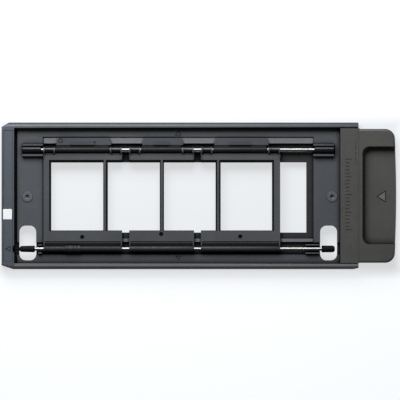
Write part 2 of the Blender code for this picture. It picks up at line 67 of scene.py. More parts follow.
def object_from(name, bm):
    bmesh.ops.recalc_face_normals(bm, faces=bm.faces[:])
    mesh = bpy.data.meshes.new(name)
    bm.to_mesh(mesh)
    bm.free()
    obj = bpy.data.objects.new(name, mesh)
    bpy.context.scene.collection.objects.link(obj)
    return obj


def loft(name, rings):
    """A solid from rings of points of one length, with flat ends."""
    bm = bmesh.new()
    loops = [[bm.verts.new([v * MM for v in point]) for point in ring] for ring in rings]
    count = len(loops[0])
    for low, high in zip(loops, loops[1:]):
        for i in range(count):
            j = (i + 1) % count
            bm.faces.new((low[i], low[j], high[j], high[i]))
    bm.faces.new(loops[0][::-1])
    bm.faces.new(loops[-1])
    return object_from(name, bm)


def prism(name, outline, z0, z1):
    return loft(name, [[(x, y, z) for x, y in outline] for z in (z0, z1)])


def box(name, x0, x1, y0, y1, z0, z1):
    return prism(name, ((x0, y0), (x1, y0), (x1, y1), (x0, y1)), z0, z1)


def profile_x(name, outline, x0, x1):
    return loft(name, [[(x, y, z) for y, z in outline] for x in (x0, x1)])


def circle(cx, cy, radius, sides):
    turns = [2 * math.pi * (i + 0.5) / sides for i in range(sides)]
    return [(cx + radius * math.cos(t), cy + radius * math.sin(t)) for t in turns]


def turned_x(name, y, stations, sides=48):
    """A solid turned about the line at y and the rods' height, from (x, radius) stations."""
    return loft(name, [[(x, a, b) for a, b in circle(y, ROD_Z, r, sides)] for x, r in stations])


def turned_z(name, x, y, stations, sides=40):
    """A solid turned about an upright line, from (z, radius) stations."""
    return loft(name, [[(a, b, z) for a, b in circle(x, y, r, sides)] for z, r in stations])


def rod_x(name, x0, x1, y, radius):
    return turned_x(name, y, ((x0, radius), (x1, radius)))


def post(name, x, y, radius, z0, z1):
    return turned_z(name, x, y, ((z0, radius), (z1, radius)))


def arc(cx, cy, radius, start, end, steps):
    turns = [math.radians(start + (end - start) * i / steps) for i in range(steps + 1)]
    return [(cx + radius * math.cos(t), cy + radius * math.sin(t)) for t in turns]


def rounded(x0, x1, y0, y1, radius, steps=8):
    """A rectangle with rounded corners."""
    left, right, low, high = x0 + radius, x1 - radius, y0 + radius, y1 - radius
    corners = ((right, high, 0), (left, high, 90), (left, low, 180), (right, low, 270))
    return [point for cx, cy, start in corners for point in arc(cx, cy, radius, start, start + 90, steps)]


def bake(obj):
    """Makes what the modifiers give the object's own mesh."""
    graph = bpy.context.evaluated_depsgraph_get()
    mesh = bpy.data.meshes.new_from_object(obj.evaluated_get(graph))
    obj.modifiers.clear()
    old = obj.data
    obj.data = mesh
    bpy.data.meshes.remove(old)


def combine(target, operation, tools):
    for tool in tools:
        step = target.modifiers.new("step", "BOOLEAN")
        step.operation = operation
        step.solver = "EXACT"
        step.object = tool
        bake(target)
        bpy.data.objects.remove(tool, do_unlink=True)


def cut(target, *tools):
    combine(target, "DIFFERENCE", tools)


def join(target, *tools):
    combine(target, "UNION", tools)


def bevel_edges(obj, width, segments, keep):
    """Rounds the sharp edges that keep(lower end, upper end, middle) picks, all in millimetres."""
    bm = bmesh.new()
    bm.from_mesh(obj.data)
    bmesh.ops.remove_doubles(bm, verts=bm.verts[:], dist=1e-7)
    edges = []
    for edge in bm.edges:
        if len(edge.link_faces) != 2 or edge.calc_face_angle(0) < 0.5:
            continue
        a, b = (v.co / MM for v in edge.verts)
        if keep(a, b, (a + b) / 2):
            edges.append(edge)
    bmesh.ops.bevel(
        bm, geom=edges, offset=width * MM, segments=segments, profile=0.5, affect="EDGES",
        clamp_overlap=True,
    )
    bm.to_mesh(obj.data)
    bm.free()


def clean_up(obj):
    """Joins points that coincide and faces that lie in one plane."""
    bm = bmesh.new()
    bm.from_mesh(obj.data)
    bmesh.ops.remove_doubles(bm, verts=bm.verts[:], dist=2e-6)
    bmesh.ops.dissolve_limit(
        bm, angle_limit=math.radians(0.4), verts=bm.verts[:], edges=bm.edges[:]
    )
    bm.to_mesh(obj.data)
    bm.free()


def split_faces(obj, x):
    """Divides the faces that cross one X, so that each side can have its own finish."""
    bm = bmesh.new()
    bm.from_mesh(obj.data)
    bmesh.ops.bisect_plane(
        bm, geom=bm.verts[:] + bm.edges[:] + bm.faces[:], dist=1e-7,
        plane_co=(x * MM, 0, 0), plane_no=(1, 0, 0),
    )
    bm.to_mesh(obj.data)
    bm.free()


def paint(obj, mat, others):
    """Gives mat to all faces, then each other material to those whose middle passes its test."""
    obj.data.materials.clear()
    obj.data.materials.append(mat)
    for face in obj.data.polygons:
        face.material_index = 0
    for number, (other, test) in enumerate(others, 1):
        obj.data.materials.append(other)
        for face in obj.data.polygons:
            if test(face.center / MM):
                face.material_index = number


def soften(obj, width, segments, angle):
    """Rounds every edge that is sharper than angle, in degrees."""
    step = obj.modifiers.new("soft_edges", "BEVEL")
    step.width = width * MM
    step.segments = segments
    step.limit_method = "ANGLE"
    step.angle_limit = math.radians(angle)
    step.use_clamp_overlap = True
    bake(obj)


def shade(obj, angle, flats):
    """Smooth shading but for edges over angle and, with flats, for large level or upright faces."""
    for face in obj.data.polygons:
        face.use_smooth = True
    obj.data.set_sharp_from_angle(angle=math.radians(angle))
    for face in obj.data.polygons:
        square = max(abs(v) for v in face.normal) > 0.9999
        if flats and square and face.area > 4 * MM**2:
            face.use_smooth = False


def finish(
    obj, mat, body, node, soft=0.2, segments=2, angle=38, others=(), split_x=None,
):
    """Softens the sharp edges by soft millimetres, paints the piece and fixes it to its body.

    others holds (material, test of a face's middle in millimetres) for faces of another finish.
    """
    clean_up(obj)
    if split_x is not None:
        split_faces(obj, split_x)
    paint(obj, mat, others)
    if soft:
        soften(obj, soft, segments, angle)
    shade(obj, angle, bool(soft))
    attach(obj, body)
    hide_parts(*([node] if isinstance(node, str) else node))


# ---------------------------------------------------------------- materials

# Noise scales, in cells for each metre.
CLOUD, RUB, LINES = 22.0, 75.0, 2600.0


def new_material(name):
    mat = bpy.data.materials.new(name)
    mat.use_nodes = True
    tree = mat.node_tree
    return mat, tree, tree.nodes["Principled BSDF"]


def feed(tree, socket, value):
    """Links a socket to another node's output, or sets it to a plain value."""
    if isinstance(value, bpy.types.NodeSocket):
        tree.links.new(value, socket)
    else:
        socket.default_value = value


def noise(tree, vector, scale, detail=3.0, rough=0.5):
    node = tree.nodes.new("ShaderNodeTexNoise")
    node.inputs["Scale"].default_value = scale
    node.inputs["Detail"].default_value = detail
    node.inputs["Roughness"].default_value = rough
    tree.links.new(vector, node.inputs["Vector"])
    return node.outputs["Fac"]


def spread(tree, value, low, high, from_low=0.3, from_high=0.7):
    """Maps from_low...from_high of a value onto low...high."""
    node = tree.nodes.new("ShaderNodeMapRange")
    node.inputs["From Min"].default_value = from_low
    node.inputs["From Max"].default_value = from_high
    node.inputs["To Min"].default_value = low
    node.inputs["To Max"].default_value = high
    tree.links.new(value, node.inputs["Value"])
    return node.outputs["Result"]


def math_node(tree, operation, *values):
    node = tree.nodes.new("ShaderNodeMath")
    node.operation = operation
    for socket, value in zip(node.inputs, values):
        feed(tree, socket, value)
    return node.outputs["Value"]


def tint(colour, gain):
    return (*[c * gain for c in colour], 1)


def blend(tree, factor, low, high, kind="MIX"):
    """A blend of two colours, each a socket or four numbers."""
    node = tree.nodes.new("ShaderNodeMix")
    node.data_type = "RGBA"
    node.blend_type = kind
    feed(tree, node.inputs["Factor"], factor)
    feed(tree, node.inputs["A"], low)
    feed(tree, node.inputs["B"], high)
    return node.outputs["Result"]


def bumps(tree, shader, height, strength, depth):
    node = tree.nodes.new("ShaderNodeBump")
    node.inputs["Strength"].default_value = strength
    node.inputs["Distance"].default_value = depth * MM
    tree.links.new(height, node.inputs["Height"])
    tree.links.new(node.outputs["Normal"], shader.inputs["Normal"])


def openness(tree, reach):
    """1 on open level faces, and low in crevices narrower than reach millimetres and on steep faces: the
    share of colour and sheen left by painted shade.
    """
    sky = tree.nodes.new("ShaderNodeAmbientOcclusion")
    sky.samples = 8
    sky.inputs["Distance"].default_value = reach * MM
    normal = tree.nodes.new("ShaderNodeSeparateXYZ")
    tree.links.new(tree.nodes.new("ShaderNodeTexCoord").outputs["Normal"], normal.inputs["Vector"])
    level = math_node(tree, "ABSOLUTE", normal.outputs["Z"])
    return math_node(
        tree, "MULTIPLY",
        spread(tree, sky.outputs["AO"], 0.04, 1.0, 0.40, 0.95),
        spread(tree, level, 0.22, 1.0, 0.45, 0.93),
    )


def plastic(name, colour, rough, grain=900.0, depth=0.02, wear=0.25, specular=0.5, reach=3.0):
    """Moulded plastic: fine eroded grain, cloudy sheen, rubbed patches, and painted shade that darkens
    crevices and steep faces and dulls their sheen.
    """
    mat, tree, shader = new_material(name)
    at = tree.nodes.new("ShaderNodeTexCoord").outputs["Object"]
    cloud = spread(tree, noise(tree, at, CLOUD, 4.0), 0, 1)
    rubbed = spread(tree, noise(tree, at, RUB, 6.0, 0.65), 0.0, wear, 0.55, 0.72)
    base = blend(
        tree, rubbed, blend(tree, cloud, tint(colour, 0.9), tint(colour, 1.1)), tint(colour, 1.5)
    )
    shine = specular
    # Painted shade: faces in crevices and on steep faces get a darker colour and a duller sheen.
    if reach:
        unshaded = openness(tree, reach)
        painted_shade = blend(tree, unshaded, (0.002, 0.002, 0.002, 1), (1, 1, 1, 1))
        base = blend(tree, 1.0, base, painted_shade, "MULTIPLY")
        shine = spread(tree, unshaded, 0.04, specular, 0.0, 1.0)
    feed(tree, shader.inputs["Base Color"], base)
    feed(tree, shader.inputs["Specular IOR Level"], shine)
    speck = noise(tree, at, grain * 0.35, 2.0, 0.6)
    feed(tree, shader.inputs["Roughness"], spread(tree, speck, rough * 0.88, rough * 1.12))
    bumps(tree, shader, noise(tree, at, grain, 2.0, 0.7), 0.6, depth)
    return mat


def metal(name, colour, rough, along=1.0):
    """Ground steel: fine lines round the bar, and a faint change of polish along it."""
    mat, tree, shader = new_material(name)
    at = tree.nodes.new("ShaderNodeTexCoord").outputs["Object"]
    mapping = tree.nodes.new("ShaderNodeMapping")
    mapping.inputs["Scale"].default_value = (along, 0.15, 0.15)
    tree.links.new(at, mapping.inputs["Vector"])
    cloud = noise(tree, at, 40.0, 3.0)
    base = blend(tree, spread(tree, cloud, 0, 1), tint(colour, 0.93), tint(colour, 1.04))
    feed(tree, shader.inputs["Base Color"], base)
    shader.inputs["Metallic"].default_value = 1.0
    feed(tree, shader.inputs["Roughness"], spread(tree, cloud, rough * 0.94, rough * 1.08))
    bumps(tree, shader, noise(tree, mapping.outputs["Vector"], LINES, 2.0, 0.6), 0.02, 0.002)
    return mat


TRAY = plastic("tray_plastic", (0.073, 0.078, 0.088), 0.50, reach=5.0)
# Painted light: the end bar is the tray's plastic, drawn lighter and bluer as if lit by the lamp.
LIT_BAR = plastic("bar_painted_light", (0.078, 0.091, 0.110), 0.50)
# Painted shade: the recess floors, grooves and cradles are the tray's plastic, drawn darker as if shaded.
SHADED_RECESS = plastic("recess_painted_shade", (0.026, 0.026, 0.028), 0.55, specular=0.4, reach=4.0)
MASK = plastic("mask_plastic", (0.071, 0.074, 0.080), 0.47)
HANDLE = plastic("handle_plastic", (0.072, 0.072, 0.067), 0.52, grain=700.0, depth=0.03, reach=7.0)
# Painted shade: the sloped sides of the mask's windows, drawn near black as if turned away from the lamp.
SHADED_SLOPE = plastic("window_slope_painted_shade", (0.007, 0.010, 0.008), 0.5, wear=0.1, specular=0.25)
# Painted highlight: the boss rings, the guide ribs and the hook walls' tops, drawn lighter as if catching
# the lamp.
RIM_HIGHLIGHT = plastic("rim_painted_highlight", (0.105, 0.11, 0.117), 0.45, reach=2.0)
# Painted highlight: the flat of the front rail.
CROWN_HIGHLIGHT = plastic("crown_painted_highlight", (0.16, 0.165, 0.17), 0.45, reach=2.0)
COVER = plastic("cover_plastic", (0.045, 0.045, 0.045), 0.55)
# Very dark plastic: on the mask's latch barrels and web it is painted shade, and it also colours the
# spring collar.
DARK_PLASTIC_AND_SHADE = plastic("barrel_plastic", (0.013, 0.013, 0.014), 0.58, depth=0.008, wear=0.1)
# Painted shade: the hook rings and the tabs' barrels, drawn near black as if shaded.
SHADED_HINGE_BARREL = plastic(
    "hinge_barrel_painted_shade", (0.011, 0.011, 0.011), 0.45, depth=0.008, wear=0.1, specular=0.2
)
CAP = plastic("cap_plastic", (0.007, 0.007, 0.008), 0.34, depth=0.008, wear=0.1, specular=0.3)
TAB = plastic("tab_plastic", (0.064, 0.068, 0.077), 0.42, depth=0.01, wear=0.12)
KNOB = plastic("knob_plastic", (0.007, 0.0062, 0.0065), 0.65, wear=0.08, specular=0.12)
# Light grey for the two film strips: partly their own tone, partly a painted reflection of the lamp on
# their polished tops.
GREY_AND_REFLECTION = plastic("strip_grey_and_painted_reflection", (0.165, 0.17, 0.182), 0.5)
PATCH = plastic("patch_white", (0.94, 0.95, 0.96), 0.35, depth=0.004, wear=0.0, reach=0)
MARK = plastic("mark_plastic", (0.145, 0.145, 0.133), 0.5, reach=0)
STEEL = metal("rod_steel", (0.36, 0.36, 0.35), 0.34)
WIRE = metal("spring_wire", (0.55, 0.55, 0.56), 0.28, along=0.2)
SCREW = metal("screw_steel", (0.16, 0.16, 0.17), 0.35, along=0.2)


# ---------------------------------------------------------------- tray

TRAY_X0, TRAY_X1, TRAY_Y = -162.2, 131.0, 60.3
WELL = (-151.9, 136.0, -55.5, 55.8)
RECESS = (-128.6, 94.2, -48.3, 48.6)
GATE = (-123.1, 88.4, -30.2, 27.6)
HINGE_GROOVE = (RECESS[0], RECESS[1], 34.6, 43.0)
LATCH_GROOVE = (WELL[0], 117.0, RECESS[2], -38.2)
HOOK_RELIEFS_X, HOOK_RELIEF_Y, HOOK_RELIEF_Z = ((-62.9, -57.8), (-3.7, 1.1)), (26.6, 35.6), 1.8
SKID_X, SKID_Y, SKID_Z = (TRAY_X0 + 5, TRAY_X1 - 12), (-51.5, 51.5), 0.8
DECK_X, DECK_Z = 115.8, 4.6
PATCH_SEAT, PATCH_SEAT_Z = (-161.3, -153.3, -19.6, -10.5), 9.8
TONGUE = (129.8, 142.0, -49.6, 49.6, 2.6, 4.0)
NOTCH_X, NOTCH_Y, NOTCH_R = -149, (-46.9, -40.4), 4.5
SLOTS_X, SLOT_Y, SLOT_HALF_X, SLOT_HALF_Y, SLOT_ROUND = (-141.0, 106.7), -38.8, 7.05, 14.3, 5.2
BOSSES, BOSS_R = ((-141.2, -0.7), (109.5, -0.7)), 4.5
BAR_TOP = RAIL_TOP - 0.35
BAR_STEP = (TRAY_X0 + 1.6, -152.9, -54.0, 54.0)
FOOT = (WELL[0], -149.5, WELL[2], WELL[3])
REAR_FALL = (
    (57.1, 10.8), (57.7, 10.65), (58.4, 10.3), (59.1, 9.8), (59.7, 9.1), (60.1, 8.3), (60.3, 7.2),
)
FRONT_FALL = ((-57.9, 10.8), (-58.3, 10.6), (-58.8, 10.1), (-59.4, 9.3), (-59.9, 8.3), (-60.3, 7.2))
CRADLE_Y, CRADLE_Z = (34.3, 41.3), 3.9
CRADLES = (((-145.6, -128.0), (-145.2, -128.3)), ((93.6, 111.8), (93.9, 110.8)))
CRADLE_WALLS = (
    ((41.3, FLOOR_Z - 1), (41.3, 9.4), (42.3, 9.4), (43.2, 7.4), (43.2, FLOOR_Z - 1)),
    ((31.9, FLOOR_Z - 1), (31.9, 7.4), (32.7, 9.4), (34.3, 9.4), (34.3, FLOOR_Z - 1)),
)
FLOOR_MARKS = (
    ((-19.8, 49.6), (-14.2, 49.6), (-17.0, 54.2)),
    ((-19.4, -49.4), (-14.6, -49.4), (-17.0, -53.2)),
)
BAR_MARK = ((-159.4, -43.6), (-154.6, -41.0), (-154.6, -46.2))
GUIDES_X = (("left", -132.3, -128.9), ("right", 87.3, 98.6))
GUIDES_Y = (("rear", LATCH_Y + 2.95), ("front", LATCH_Y - 3.8))
GUIDE_WIDE, GUIDE_TOP = 0.85, 8.9


def on_bar_edge(a, b, middle):
    """The end bar's outer top edge and its two corners."""
    level = min(a.z, b.z) > RAIL_TOP - NEAR
    return level and abs(middle.y) < TRAY_Y - 0.1 and middle.x < TRAY_X0 + 6.5


def on_rail_edge(a, b, middle):
    """The rails' inner top edges."""
    wall_y = (WELL[3] - WELL[2]) / 2
    return min(a.z, b.z) > RAIL_TOP - NEAR and abs(abs(middle.y) - wall_y) < 0.4


def on_foot_edge(a, b, middle):
    """The bottom edges, but for the one at the handle."""
    return max(a.z, b.z) < NEAR and middle.x < TRAY_X1 - 1


def on_bar(middle):
    return middle.x < WELL[0] - 0.7 and middle.z > 9


def in_recess(middle):
    """The floors of the recess, the grooves and the cradles."""
    return 1 < middle.z < FILM_Z + 0.05 and abs(middle.y) < 50


def on_boss(middle):
    """The raised rings round the two dimples."""
    return middle.z > FLOOR_Z + 0.2 and any(
        math.hypot(middle.x - x, middle.y - y) < BOSS_R for x, y in BOSSES
    )


def on_crown(middle):
    """The flat of the front rail, which gets a painted highlight."""
    across = FRONT_FALL[1][0] < middle.y < WELL[2] + 0.1
    return middle.z > RAIL_TOP - 0.1 and across and middle.x > WELL[0] - 0.1


def fall_cutter(points):
    """What lies outside a rail's sloping outer side."""
    away = points[-1][0] * 1.05
    outline = [*points, (away, points[-1][1]), (away, RAIL_TOP + 2), (points[0][0], RAIL_TOP + 2)]
    return profile_x("rail_fall", outline, TRAY_X0 - 5, TRAY_X1 + 5)


def outlined(body, points, z, depth=0.35, core=0.6):
    """Engraves the outline of a small mark."""
    cx, cy = (sum(v) / len(points) for v in zip(*points))
    inner = [(cx + (x - cx) * core, cy + (y - cy) * core) for x, y in points]
    line = prism("mark_outline", points, z - depth, z + 2)
    cut(line, prism("mark_core", inner, z - depth - 1, z + 3))
    cut(body, line)


def tray_moulding():
    """The tray with its well, rails, film bed and grooves."""
    outline = (
        (TRAY_X0 + 9.5, -TRAY_Y), (TRAY_X1 - 4.2, -TRAY_Y), (TRAY_X1, -TRAY_Y + 1.1), (TRAY_X1, TRAY_Y),
        (TRAY_X0 + 6.0, TRAY_Y), (TRAY_X0, TRAY_Y - 3.7), (TRAY_X0, -TRAY_Y + 3.3),
    )
    body = prism("tray", outline, 0, RAIL_TOP)
    cut(body, box("well", *WELL, FLOOR_Z, ABOVE))
    bevel_edges(body, 1.3, 6, on_bar_edge)
    bevel_edges(body, 0.9, 5, on_rail_edge)
    cut(body, fall_cutter(REAR_FALL), fall_cutter(FRONT_FALL))
    bevel_edges(body, 0.5, 2, on_foot_edge)
    cut(
        body,
        box("recess", *RECESS, FILM_Z, ABOVE),
        box("hinge_groove", *HINGE_GROOVE, GROOVE_Z, ABOVE),
        box("latch_groove", *LATCH_GROOVE, GROOVE_Z, ABOVE),
        box("gate", *GATE, BELOW, ABOVE),
        *(box("hook_relief", *x, *HOOK_RELIEF_Y, HOOK_RELIEF_Z, ABOVE) for x in HOOK_RELIEFS_X),
        box("skids", *SKID_X, *SKID_Y, BELOW, SKID_Z),
        box("deck", DECK_X, TRAY_X1 + 3, WELL[2], WELL[3], DECK_Z, ABOVE),
        box("patch_seat", *PATCH_SEAT, PATCH_SEAT_Z, ABOVE),
    )
    return body


def slots(body):
    """The two finger slots, and the notch in the end bar at the tip of the latch's pin."""
    for x in SLOTS_X:
        outline = rounded(
            x - SLOT_HALF_X, x + SLOT_HALF_X, SLOT_Y - SLOT_HALF_Y, SLOT_Y + SLOT_HALF_Y, SLOT_ROUND
        )
        cut(body, prism("slot", outline, BELOW, ABOVE))
    bow = arc(NOTCH_X + 0.1, LATCH_Y, NOTCH_R, 134, 226, 12)
    notch = [(NOTCH_X, NOTCH_Y[0]), (NOTCH_X, NOTCH_Y[1]), *bow]
    cut(body, prism("notch", notch, FLOOR_Z - 0.3, ABOVE))


def dimples(body):
    """Two raised rings, each with a dimple in its middle."""
    rise = ((FLOOR_Z - 1, BOSS_R), (FLOOR_Z, BOSS_R), (FLOOR_Z + 0.5, 4.1))
    bowl = ((FLOOR_Z - 0.4, 0.8), (FLOOR_Z + 0.1, 1.1), (FLOOR_Z + 1, 3.0))
    for x, y in BOSSES:
        join(body, turned_z("boss", x, y, rise))
        cut(body, turned_z("dimple", x, y, bowl))


def tray():
    """The moulding with its tongue, cradles, slots, dimples and marks."""
    body = tray_moulding()
    join(body, box("tongue", *TONGUE))
    for x, y in SCREWS[:2]:
        cut(body, post("tongue_hole", x, y, SHANK_HOLE_R, TONGUE[4] - 1, TONGUE[5] + 1))
    for cradle_x, wall_x in CRADLES:
        for outline in CRADLE_WALLS:
            join(body, profile_x("cradle_wall", outline, *wall_x))
        cut(body, box("cradle", *cradle_x, *CRADLE_Y, CRADLE_Z, ABOVE))
    slots(body)
    dimples(body)
    for points in FLOOR_MARKS:
        outlined(body, points, FLOOR_Z)
    cut(body, box("bar_step", *BAR_STEP, BAR_TOP, ABOVE))
    outlined(body, BAR_MARK, BAR_TOP)
    cut(body, box("foot", *FOOT, FLOOR_Z - 2.4, FLOOR_Z + 1))
    # The end bar gets painted light, the recess floors painted shade, and the boss rings and the front
    # rail's flat painted highlights.
    finish(
        body, TRAY, "carrier",
        ("carrier_body", "latch_channel", "floor_margin", "side_rail_rear", "side_rail_front", "end_bar"),
        0.22,
        others=((LIT_BAR, on_bar), (SHADED_RECESS, in_recess), (RIM_HIGHLIGHT, on_boss), (CROWN_HIGHLIGHT, on_crown)),
        split_x=WELL[0] + 0.4,
    )


def guide_ribs():
    """Two pairs of ribs beside the latch rod, one near each knob."""
    for end, x0, x1 in GUIDES_X:
        for side, y0 in GUIDES_Y:
            rib = box(f"guide_rib_{end}_{side}", x0, x1, y0, y0 + GUIDE_WIDE, GROOVE_Z, GUIDE_TOP)
            # Painted highlight: the ribs are drawn lighter than the tray.
            finish(rib, RIM_HIGHLIGHT, "carrier", f"rod_guide_{end}_{side}", 0.12)


tray()
guide_ribs()

# ---------------------------------------------------------------- rods, caps and strips

HINGE_ROD_X, LATCH_ROD_X, ROD_TIP_R, TIP_EDGE = (-144.5, 110.7), (-139.0, 105.0), 1.1, 0.4
CAPS_X, CAP_R, CAP_TIP_R, CAP_WALL = ((-145.3, -129.9), (94.9, 111.0)), 3.2, 2.8, 0.5
EDGE_STRIP = (-127.9, 93.9, 43.1, 47.7, 4.8, 6.0)
GUIDE_STRIP = (-127.9, 93.9, -37.9, -35.2, 4.8, 5.6)
WHITE_PATCH, PATCH_ROUND, PATCH_Z = (-161.0, -153.6, -19.3, -10.8), 0.5, (10.1, 10.5)


def blunt_rod(name, x0, x1, y, radius, tip_radius, edge=TIP_EDGE):
    """A rod with a short slope at both ends."""
    stations = ((x0, tip_radius), (x0 + edge, radius), (x1 - edge, radius), (x1, tip_radius))
    return turned_x(name, y, stations)


def bar(name, x0, x1, y, node, body):
    shape = blunt_rod(name, x0, x1, y, ROD_R, ROD_TIP_R)
    finish(shape, STEEL, body, node, 0, angle=30)


def rod_cap(side, x0, x1):
    """A cap with a blind bore that opens towards the mask."""
    bore = (x0 + CAP_WALL, x1 + 1) if side == "left" else (x0 - 1, x1 - CAP_WALL)
    shape = blunt_rod(f"rod_cap_{side}", x0, x1, HINGE_Y, CAP_R, CAP_TIP_R)
    cut(shape, rod_x("cap_bore", *bore, HINGE_Y, PRESS_R))
    finish(shape, CAP, "carrier", f"hinge_rod_cap_{side}", 0, angle=30)


bar("hinge_rod_bar", *HINGE_ROD_X, HINGE_Y, "hinge_rod", "carrier")
rod_cap("left", *CAPS_X[0])
rod_cap("right", *CAPS_X[1])

finish(box("edge_strip", *EDGE_STRIP), GREY_AND_REFLECTION, "carrier", "film_edge_strip")
finish(box("guide_strip", *GUIDE_STRIP), GREY_AND_REFLECTION, "carrier", "film_guide_strip")
finish(
    prism("white_patch", rounded(*WHITE_PATCH, PATCH_ROUND, 3), *PATCH_Z),
    PATCH, "carrier", "reference_patch", 0.08,
)

# ---------------------------------------------------------------- mask

SECTIONS = (("left", -127.9, -63.3), ("middle", -57.4, -4.1), ("right", 1.5, 66.7))
HOOKS = {
    "left": ((-127.9, -118.6), (-73.0, -63.5)),
    "middle": ((-57.4, -48.3), (-13.8, -4.4)),
    "right": ((1.6, 10.9), (56.9, 66.5)),
}
HOOK_R, HOOK_WALL = 2.35, 0.9
SNAP_HALF, SNAP_TOP = 1.2, 6.6
HOOK_SIDE = (
    (34.0, 5.4), (34.0, 8.3), (34.9, 9.3), (36.3, 10.1), (38.0, 10.3), (39.4, 9.9), (40.2, 8.8),
    (40.2, 5.4),
)
TABS = (("left", -117.4, -74.2, 20.0), ("middle", -46.7, -15.0, 13.0), ("right", 12.5, 55.2, 18.0))
DOTS = {"left": (-96.0, -33.8), "middle": (-31.1, -31.4), "right": (33.9, -33.4)}
BARREL_R, WEB_TOP = 2.75, 7.2
WEB_RIB = (-38.9, -38.3, 6.6, 7.9)
END_RIB, END_RIB_Z = 1.0, 5.9
STRIP_ROOM_Y, STRIP_ROOM_TOP = -34.9, 5.9
LIP_ROOM_Y, LIP_ROOM_TOP, LIP_ROOM_END = 28.0, 6.8, 0.5
EDGE_RIM, EDGE_RIM_Y = 0.8, 29.8
DOT_R, DOT_DEPTH = 1.7, 1.5
HOUSING, HOUSING_R, HOUSING_WALL = (-110.2, -97.4), 3.3, 0.8
RING_GROOVES, RING_CORE_R = ((-108.6, 0.5), (-103.4, 0.4), (-100.9, 0.5)), 3.0


def window_cutter(x0, x1, out_left, out_right):
    """A window, upright up to SLOPE_Z and wider towards the top of the mask."""
    rings = []
    for z, out in ((4.0, 0), (SLOPE_Z, 0), (MASK_Z1, 1), (MASK_Z1 + 1, 1)):
        left, right = x0 - out * out_left, x1 + out * out_right
        low, high = WINDOW_Y0 - out * SLOPE_FRONT, WINDOW_Y1 + out * SLOPE_REAR
        rings.append([(left, low, z), (right, low, z), (right, high, z), (left, high, z)])
    return loft("window", rings)


def hook(body, x0, x1):
    """A clip over the hinge rod: a ring between two side walls."""
    join(
        body,
        rod_x("hook_ring", x0, x1, HINGE_Y, HOOK_R),
        box("hook_web", x0, x1, MASK_Y1 - 0.5, HINGE_Y, MASK_Z0, MASK_Z1 - 0.7),
        profile_x("hook_wall", HOOK_SIDE, x0, x0 + HOOK_WALL),
        profile_x("hook_wall", HOOK_SIDE, x1 - HOOK_WALL, x1),
    )
    cut(
        body,
        rod_x("hinge_bore", x0 - 1, x1 + 1, HINGE_Y, BORE_R),
        box("snap_slot", x0 - 1, x1 + 1, HINGE_Y - SNAP_HALF, HINGE_Y + SNAP_HALF, 3, SNAP_TOP),
        box("hook_step", x0 + HOOK_WALL, x1 - HOOK_WALL, MASK_Y1 - 1.6, MASK_Y1, MASK_Z1 - 0.5, OVER_MASK),
    )


def latch_side(body, x0, x1, housed):
    """The web and the barrel on the latch rod, where housed with the thicker spring housing."""
    barrel_y = LATCH_Y + 2.0
    join(
        body,
        box("latch_web", x0, x1, barrel_y, MASK_Y0 + 0.5, 6.2, WEB_TOP),
        box("latch_web_rib", x0, x1, *WEB_RIB),
        box("end_rib", x0, x0 + END_RIB, barrel_y, MASK_Y0 + 0.5, END_RIB_Z, MASK_Z1),
        box("end_rib", x1 - END_RIB, x1, barrel_y, MASK_Y0 + 0.5, END_RIB_Z, MASK_Z1),
        rod_x("latch_barrel", x0, x1, LATCH_Y, BARREL_R),
    )
    if housed:
        join(body, rod_x("spring_housing", *HOUSING, LATCH_Y, HOUSING_R))
    cut(
        body,
        box("strip_relief", x0 - 1, x1 + 1, MASK_Y0 - 1, STRIP_ROOM_Y, 4, STRIP_ROOM_TOP),
        rod_x("latch_bore", x0 - 1, x1 + 1, LATCH_Y, BORE_R),
    )
    if housed:
        cavity = (HOUSING[0] + HOUSING_WALL, HOUSING[1] - HOUSING_WALL)
        cut(
            body,
            rod_x("spring_cavity", *cavity, LATCH_Y, HOUSING_R - HOUSING_WALL),
            box("spring_window", *cavity, LATCH_Y - 2.2, LATCH_Y + 2.2, 3, ROD_Z - 1),
        )


def mask_section(side, x0, x1):
    body = box(f"mask_frame_{side}", x0, x1, MASK_Y0, MASK_Y1, MASK_Z0, MASK_Z1)
    for (w0, w1), slopes in zip(WINDOWS, WINDOW_SLOPES):
        if w1 > x0 and w0 < x1:
            left = w0 if w0 > x0 else x0 - 4
            right = w1 if w1 < x1 else x1 + 4
            cut(body, window_cutter(left, right, *slopes))
    for hook0, hook1 in HOOKS[side]:
        hook(body, hook0, hook1)
    latch_side(body, x0, x1, side == "left")
    for tab_side, tab0, tab1, _ in TABS:
        if tab_side == side:
            pocket0, pocket1 = tab0 - LIP_ROOM_END, tab1 + LIP_ROOM_END
            cut(body, box("lip_pocket", pocket0, pocket1, LIP_ROOM_Y, MASK_Y1 + 0.1, 4, LIP_ROOM_TOP))
    for rim_x in ((x0, x0 + EDGE_RIM), (x1 - EDGE_RIM, x1)):
        join(body, box("edge_rim", *rim_x, EDGE_RIM_Y, MASK_Y1 - 0.4, MASK_Z1 - 0.5, MASK_Z1 + 0.3))
    cut(body, post("pin_mark", *DOTS[side], DOT_R, MASK_Z1 - DOT_DEPTH, OVER_MASK))
    if side == "left":
        for x, width in RING_GROOVES:
            groove = rod_x("ring_groove", x, x + width, LATCH_Y, RING_CORE_R + 1)
            cut(groove, rod_x("ring_core", x - 1, x + width + 1, LATCH_Y, RING_CORE_R))
            cut(body, groove)
    return body


def on_barrel(middle):
    return middle.y < -40.8


def in_hook(middle):
    """The ring of a hook, which gets painted shade, but for the line along its crown, left lighter as a
    painted highlight.
    """
    return 34.9 < middle.y < 43 and not 38.2 < middle.y < 39.3 and any(
        h0 + 0.8 < middle.x < h1 - 0.8 for pair in HOOKS.values() for h0, h1 in pair
    )


def on_hook_wall(middle):
    return 33.5 < middle.y < 41 and middle.z > 8 and any(
        h0 - 0.1 < middle.x < h0 + 0.95 or h1 - 0.95 < middle.x < h1 + 0.1
        for pair in HOOKS.values() for h0, h1 in pair
    )


